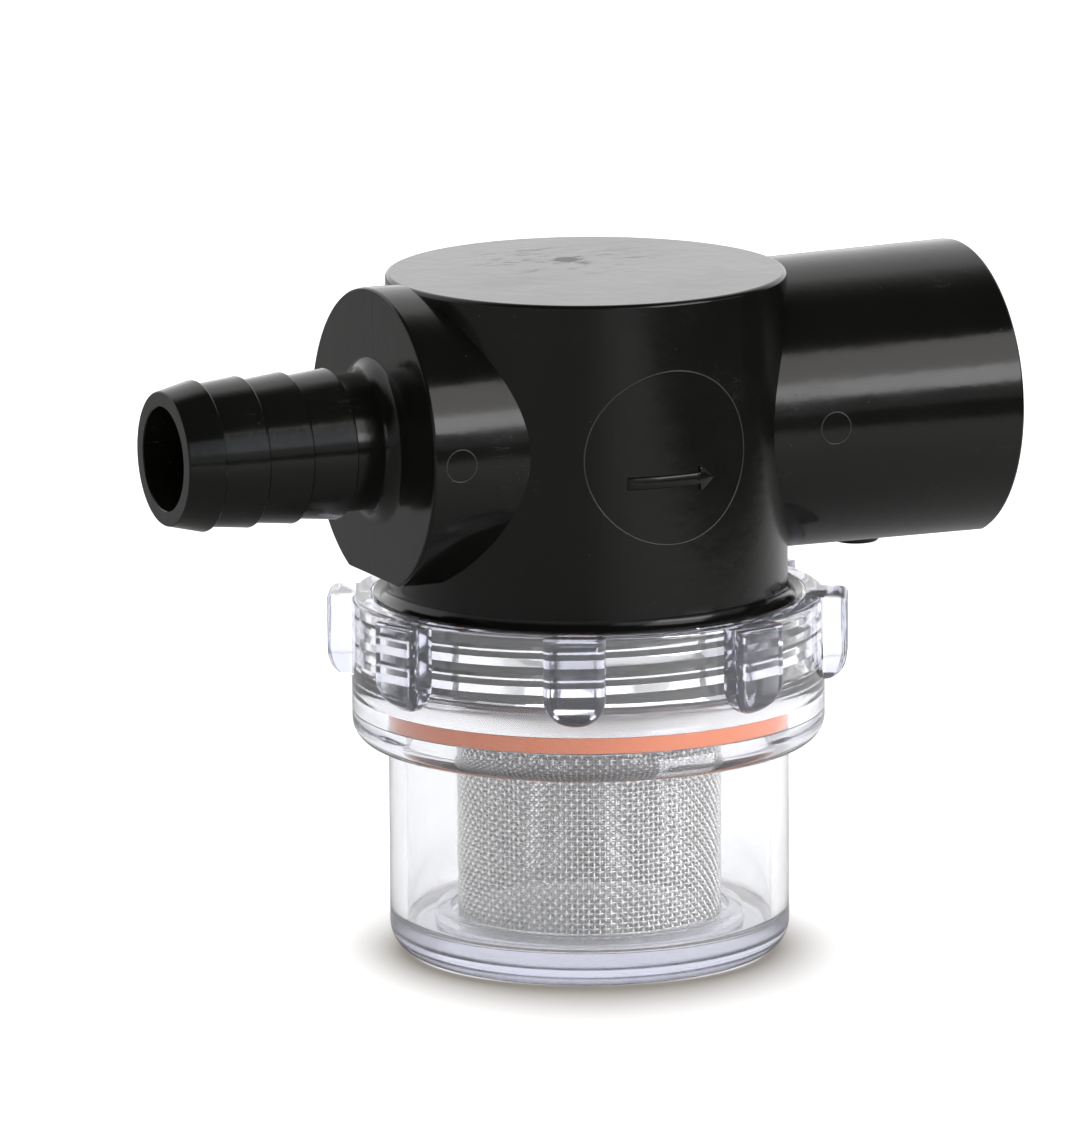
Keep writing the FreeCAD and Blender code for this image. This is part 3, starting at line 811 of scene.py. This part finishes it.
def orange_rubber(name):
    """Matt orange silicone with a fine skin and faint mottling."""
    material, tree, shader, place = new_material(name)
    mottle = wave_noise(tree, place, 0.8, 4.0)
    tone = blended(tree, mottle.outputs["Fac"], (0.60, 0.112, 0.004), (0.66, 0.13, 0.006))
    tree.links.new(tone, shader.inputs["Base Color"])
    skin = wave_noise(tree, place, 7.0, 3.0)
    tree.links.new(spread(tree, skin.outputs["Fac"], 0.3, 0.7, 0.42, 0.6), shader.inputs["Roughness"])
    relief(tree, shader, skin.outputs["Fac"], 0.02)
    return material


gasket = true_normals(turned("gasket_ring", gasket_section()), soft=40)
paint(gasket, orange_rubber("orange_silicone"))
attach(gasket, "twist_bowl")
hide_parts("gasket")


# ---------------------------------------------------------------- bowl
# The bowl is one clear moulding with a lavender cast: a cup with a thick floor, a stepped shoulder
# that holds the gasket, and a heavy threaded ring with eight grip lugs.

CUP_RADIUS, CUP_BORE, FLOOR_HEIGHT = 19.9, 18.2, 3.4
RING_RADIUS, RING_BORE, RING_CREST = 23.5, 21.6, 20.75
RING_LOW, RING_HIGH = 29.4, 35.2  # where the ring's thread ends
RING_FLAT, RING_FLANK = 0.62, 0.7
GROOVE_RADIUS, GROOVE_HEIGHT = 22.05, 29.1  # relief below the thread
LAND_RADIUS, LAND_HEIGHT = 19.95, 24.1  # the step that the gasket lies on
RIM_HEIGHT = 36.2
LUG_RADIUS, LUG_HALF, LUG_LOW, LUG_EDGE = 25.8, 3.05, 27.4, 1.0
LUG_TURN, LUG_STEP = 17, 45  # degrees


def bowl_section(angle):
    """Outside from the middle of the base up to the rim, then down the thread and the cup to the floor."""
    return (
        [(0, 0.35), (15.0, 0.35), (15.35, 0.0)]
        + arc((CUP_RADIUS - 3.0, 3.0), 3.0, 270, 360, 14)
        + [(CUP_RADIUS, 21.05)]
        + arc((20.25, 21.05), 0.35, 180, 90, 4)[1:]
        + arc((RING_RADIUS - 2.4, 23.8), 2.4, 270, 360, 14)
        + arc((RING_RADIUS - 0.5, RIM_HEIGHT - 0.5), 0.5, 0, 90, 5)
        + arc((21.75, 36.05), 0.15, 90, 180, 3)
        + [(RING_BORE, 35.25)]
        + screw_thread(
            RING_LOW, RING_HIGH, RING_BORE, RING_CREST, RING_FLAT, RING_FLANK, angle, THREAD_START + math.pi
        )
        + [(RING_BORE, RING_LOW), (GROOVE_RADIUS, GROOVE_HEIGHT), (LAND_RADIUS, 25.8), (LAND_RADIUS, 24.2)]
        + [(19.85, LAND_HEIGHT), (18.45, LAND_HEIGHT)]
        + arc((18.45, 23.85), 0.25, 90, 180, 3)[1:]
        + [(CUP_BORE, FLOOR_HEIGHT + 1.0)]
        + arc((CUP_BORE - 1.0, FLOOR_HEIGHT + 1.0), 1.0, 360, 270, 6)[1:]
        + [(15.45, FLOOR_HEIGHT)]
        + arc((15.15, 4.45), 0.15, 0, 90, 2)
        + arc((13.95, 4.45), 0.15, 90, 180, 2)
        + [(13.8, FLOOR_HEIGHT), (0, FLOOR_HEIGHT)]
    )


def grip_lug(index):
    """One tongue on the ring: straight sides, half-round lower end, all its outer edges well rounded."""
    depth = LUG_RADIUS - RING_RADIUS
    angle = math.radians(LUG_TURN + LUG_STEP * index)
    out = Vector((math.cos(angle), math.sin(angle), 0))
    across = Vector((-math.sin(angle), math.cos(angle), 0))
    profile = [(0.0, -1.25), (0.0, depth - LUG_EDGE)] + [
        (LUG_EDGE - x, depth - LUG_EDGE + y) for x, y in arc((0, 0), LUG_EDGE, 0, 84, 7)[1:]
    ]
    mesh = bmesh.new()
    layers = []
    for inset, rise in profile:
        width = LUG_HALF - inset
        level = LUG_LOW + LUG_HALF
        sides = [level + (RIM_HEIGHT - level) * i / 6 for i in range(1, 6)]
        corner = RIM_HEIGHT - inset * 0.45
        outline = [(width, corner)] + [(width, height) for height in sides[::-1]]
        outline += arc((0, level), width, 0, -180, 20)
        outline += [(-width, height) for height in sides] + [(-width, corner)]
        layer = []
        for sideways, height in outline:
            reach = RING_RADIUS + rise
            if rise > 0:
                low = max(0.0, 1 - (height - LUG_LOW) / 3.2)
                reach = RING_RADIUS - 0.25 + (rise + 0.25) * math.sqrt(max(0.0, 1 - low * low * 0.9))
            layer.append(mesh.verts.new((out * reach + across * sideways + Vector((0, 0, height))) * MM))
        layers.append(layer)
    count = len(layers[0])
    for lower, upper in zip(layers, layers[1:]):
        for i in range(count):
            j = (i + 1) % count
            mesh.faces.new((lower[i], lower[j], upper[j], upper[i]))
    nose = count // 2
    for layer in (layers[0], layers[-1]):
        for i in range(nose - 1):
            mesh.faces.new((layer[i], layer[i + 1], layer[-2 - i], layer[-1 - i]))
        mesh.faces.new(layer[nose - 1:nose + 2])
    bmesh.ops.recalc_face_normals(mesh, faces=mesh.faces)
    return finished(f"lug_{index}", mesh, FLAT)


bowl = turned("clear_bowl", bowl_section, steps=224)
for index in range(360 // LUG_STEP):
    combine(bowl, grip_lug(index), "UNION")
true_normals(bowl, soft=32)


def clear_plastic(name):
    """Clear moulded plastic with a lavender cast, faint flow waves and a few fine marks."""
    material, tree, shader, place = new_material(name)
    shader.inputs["Transmission Weight"].default_value = 0.965
    shader.inputs["IOR"].default_value = 1.585
    skin = skin_on(tree, place)
    across, z = from_axis(tree, place)
    on_lugs = spread(tree, across, RING_RADIUS + 0.1, RING_RADIUS + 0.4, 0.0, 0.10)
    on_base = spread(tree, z, 3.0, 0.2, 0.0, 0.22)
    on_rim = spread(tree, z, RIM_HEIGHT - 0.3, RIM_HEIGHT, 0.0, 0.7)
    thick_lugs = worked_out(tree, "MULTIPLY", on_lugs, 8.0)
    thick_base = worked_out(tree, "MULTIPLY", on_base, 2.5)
    thick = worked_out(tree, "MAXIMUM", worked_out(tree, "MAXIMUM", thick_lugs, thick_base), on_rim)
    thin_colour = blended(tree, skin["Cloud"], (0.82, 0.825, 0.835), (0.87, 0.875, 0.88))
    colour = blended(tree, thick, thin_colour, (0.70, 0.71, 0.82))
    tree.links.new(colour, shader.inputs["Base Color"])
    rough = worked_out(tree, "MULTIPLY", skin["Scratches"], 0.12)
    rough = worked_out(tree, "ADD", rough, worked_out(tree, "MAXIMUM", on_lugs, on_base))
    tree.links.new(worked_out(tree, "ADD", rough, 0.012), shader.inputs["Roughness"])
    relief(tree, shader, skin["Height"], 0.35)
    cast = tree.nodes.new("ShaderNodeVolumeAbsorption")
    cast.inputs["Color"].default_value = (0.36, 0.37, 0.60, 1)
    cast.inputs["Density"].default_value = 16.0
    tree.links.new(cast.outputs["Volume"], tree.nodes["Material Output"].inputs["Volume"])
    return material


paint(bowl, clear_plastic("clear_lavender_plastic"))
bowl.visible_shadow = False
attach(bowl, "twist_bowl")
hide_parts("bowl")


# ---------------------------------------------------------------- table, light and camera
# A white table with a painted shadow round the foot and a painted darkening where the gloss shows it,
# one wide soft light overhead that the gloss doesn't show, three softboxes in front that draw the level
# stripes along the two ports, and a dark card beside the socket.

VIEW_TURN, VIEW_RISE, VIEW_ROLL = math.radians(-24.61), math.radians(11.52), math.radians(-0.39)
FOOT_SHADE = 0.0185  # metres from the axis, where the contact shade is darkest
SHADE_REACH = 0.027


def contact_shade(tree, reach, aside):
    """Mask of the soft dark shade round the foot, narrower at its two sides."""
    beside = worked_out(tree, "DIVIDE", aside, reach)
    beside = worked_out(tree, "MULTIPLY", beside, beside)
    narrowing = worked_out(tree, "ADD", worked_out(tree, "MULTIPLY", beside, 1.5), 1.0)
    out = worked_out(tree, "MULTIPLY", worked_out(tree, "SUBTRACT", reach, FOOT_SHADE), narrowing)
    shade = worked_out(tree, "POWER", spread(tree, out, SHADE_REACH, 0.0, 0, 1), 2.2)
    shade = worked_out(tree, "MULTIPLY", shade, spread(tree, out, -0.0022, -0.0012, 0, 1))
    return worked_out(tree, "MULTIPLY", shade, 0.95)


def painted_gloss_brightness(tree, aside):
    """How bright the table is painted in the plastic's gloss, from left to right: a painted dark reflection.
    """
    right = worked_out(
        tree, "MULTIPLY", spread(tree, aside, 0.0, 0.13, 0.28, 0.6), spread(tree, aside, 0.20, 0.235, 1, 0.05)
    )
    return worked_out(tree, "MAXIMUM", right, spread(tree, aside, -0.15, 0.0, 0.33, 0.0))


def table():
    """A wide flat disc just under the bowl's base, which can't be seen from below."""
    mesh = bmesh.new()
    bmesh.ops.create_circle(mesh, cap_ends=True, radius=4.0, segments=96)
    for vertex in mesh.verts:
        vertex.co.z = -0.06 * MM
    made = finished("table", mesh, FLAT)
    material = bpy.data.materials.new("white_table")
    material.use_nodes = True
    tree = material.node_tree
    shader = tree.nodes["Principled BSDF"]
    shader.inputs["Roughness"].default_value = 0.9
    shader.inputs["Specular IOR Level"].default_value = 0.1
    spot = tree.nodes.new("ShaderNodeTexCoord")
    cloud = tree.nodes.new("ShaderNodeTexNoise")
    cloud.inputs["Scale"].default_value = 3.0
    length = tree.nodes.new("ShaderNodeVectorMath")
    length.operation = "LENGTH"
    sideways = tree.nodes.new("ShaderNodeVectorMath")
    sideways.operation = "DOT_PRODUCT"
    sideways.inputs[1].default_value = (math.cos(VIEW_TURN), math.sin(VIEW_TURN), 0)
    for node in (length, sideways):
        tree.links.new(spot.outputs["Object"], node.inputs[0])
    reach, aside = length.outputs["Value"], sideways.outputs["Value"]
    tone = blended(tree, cloud.outputs["Fac"], (0.88, 0.878, 0.872), (0.9, 0.9, 0.9))
    # Painted shadow: the table's colour darkens round the bowl's foot.
    shaded = blended(tree, contact_shade(tree, reach, aside), tone, (0.25, 0.225, 0.195))

    # Painted reflection: seen in the plastic's gloss, the table is painted darker, by a share that changes
    # from left to right.
    rays = tree.nodes.new("ShaderNodeLightPath")
    in_gloss = worked_out(
        tree, "MULTIPLY", rays.outputs["Is Glossy Ray"],
        worked_out(tree, "LESS_THAN", rays.outputs["Transmission Depth"], 0.5),
    )
    painted_dark_reflection = blended(tree, painted_gloss_brightness(tree, aside), (0, 0, 0), shaded)
    tree.links.new(blended(tree, in_gloss, shaded, painted_dark_reflection), shader.inputs["Base Color"])

    facing = tree.nodes.new("ShaderNodeNewGeometry")
    unseen = tree.nodes.new("ShaderNodeBsdfTransparent")
    sided = tree.nodes.new("ShaderNodeMixShader")
    tree.links.new(facing.outputs["Backfacing"], sided.inputs[0])
    tree.links.new(shader.outputs[0], sided.inputs[1])
    tree.links.new(unseen.outputs[0], sided.inputs[2])
    tree.links.new(sided.outputs[0], tree.nodes["Material Output"].inputs["Surface"])
    return paint(made, material)


table()


def softbox(name, place, width, height, power, colour, seen_in_gloss=True, target=(0, 0, 0.05)):
    """An area light that points from a place at a target."""
    data = bpy.data.lights.new(name, "AREA")
    data.shape = "RECTANGLE"
    data.size, data.size_y = width, height
    data.energy = power
    data.color = colour
    lamp = bpy.data.objects.new(name, data)
    bpy.context.scene.collection.objects.link(lamp)
    lamp.location = place
    lamp.rotation_euler = (Vector(target) - Vector(place)).to_track_quat("-Z", "Y").to_euler()
    lamp.visible_glossy = seen_in_gloss


softbox("overhead", (0, 0.1, 1.6), 2.4, 2.4, 48, (1, 1, 1), seen_in_gloss=False, target=(0, 0, 0))
softbox("front_low", (0.516, -0.80, 0.33), 0.62, 0.2, 3.6, (0.97, 0.97, 1.0))
softbox("front_high", (0.49, -0.76, 0.62), 0.62, 0.40, 3.2, (1.0, 0.97, 0.95))
softbox("front_left", (0.08, -0.94, 0.44), 0.44, 0.40, 0.85, (0.82, 0.90, 1.0))


def black_card(name, left, right, height):
    """A dark card that stands beside the object and shows only in its gloss."""
    mesh = bmesh.new()
    mesh.faces.new([mesh.verts.new(corner) for corner in (
        (*left, 0.0), (*right, 0.0), (*right, height), (*left, height)
    )])
    card = finished(name, mesh, FLAT)
    material = bpy.data.materials.new(name)
    material.use_nodes = True
    shader = material.node_tree.nodes["Principled BSDF"]
    shader.inputs["Base Color"].default_value = (0.004, 0.004, 0.004, 1)
    paint(card, material)
    card.visible_camera = card.visible_diffuse = False
    card.visible_transmission = card.visible_shadow = False
    return card


black_card("side_card", (0.288, -0.083), (0.299, 0.026), 0.35)

world = bpy.data.worlds.new("studio")
bpy.context.scene.world = world
world.use_nodes = True
sky = world.node_tree
background = sky.nodes["Background"]
direction = sky.nodes.new("ShaderNodeTexCoord")
_, deep, high = parts_of(sky, direction.outputs["Generated"])
LOW_BAND, BACK_BAND, SEEN_THROUGH, LEAST = 0.7, 1.45, 0.85, 0.02  # strengths of the light all round
low_band = worked_out(sky, "MULTIPLY", spread(sky, high, 0.5, 0.2, 0.0, 1.0), LOW_BAND)
back_band = worked_out(
    sky, "MULTIPLY", spread(sky, deep, 0.0, 0.45, 0.0, 1.0), spread(sky, high, 0.93, 0.8, 0.0, 1.0)
)
glow = worked_out(sky, "MAXIMUM", low_band, worked_out(sky, "MULTIPLY", back_band, BACK_BAND))
rays = sky.nodes.new("ShaderNodeLightPath")
through = worked_out(sky, "MULTIPLY", rays.outputs["Is Transmission Ray"], SEEN_THROUGH)
strength = worked_out(sky, "ADD", worked_out(sky, "MAXIMUM", glow, through), LEAST)
sky.links.new(strength, background.inputs["Strength"])
background.inputs["Color"].default_value = (1, 1, 1, 1)

EYE_AWAY, EYE_ASIDE, EYE_HEIGHT = 1190.4, -4.73, 38.11
FILM_WIDTH, FOCAL_LENGTH = 36, 377.95276
backward = Vector((
    math.sin(VIEW_TURN) * math.cos(VIEW_RISE), -math.cos(VIEW_TURN) * math.cos(VIEW_RISE), math.sin(VIEW_RISE)
))
sideward = Vector((math.cos(VIEW_TURN), math.sin(VIEW_TURN), 0))
upward = backward.cross(sideward)
rolled_side = math.cos(VIEW_ROLL) * sideward + math.sin(VIEW_ROLL) * upward
rolled_up = -math.sin(VIEW_ROLL) * sideward + math.cos(VIEW_ROLL) * upward
eye = (backward * EYE_AWAY + sideward * EYE_ASIDE + Vector((0, 0, EYE_HEIGHT))) * MM
lens = bpy.data.cameras.new("camera")
lens.sensor_width = FILM_WIDTH
lens.lens = FOCAL_LENGTH
lens.clip_start = 0.01
camera = bpy.data.objects.new("camera", lens)
bpy.context.scene.collection.objects.link(camera)
stance = Matrix((rolled_side, rolled_up, backward)).transposed().to_4x4()
camera.matrix_world = Matrix.Translation(eye) @ stance
bpy.context.scene.camera = camera
bpy.context.scene.view_settings.view_transform = "Standard"
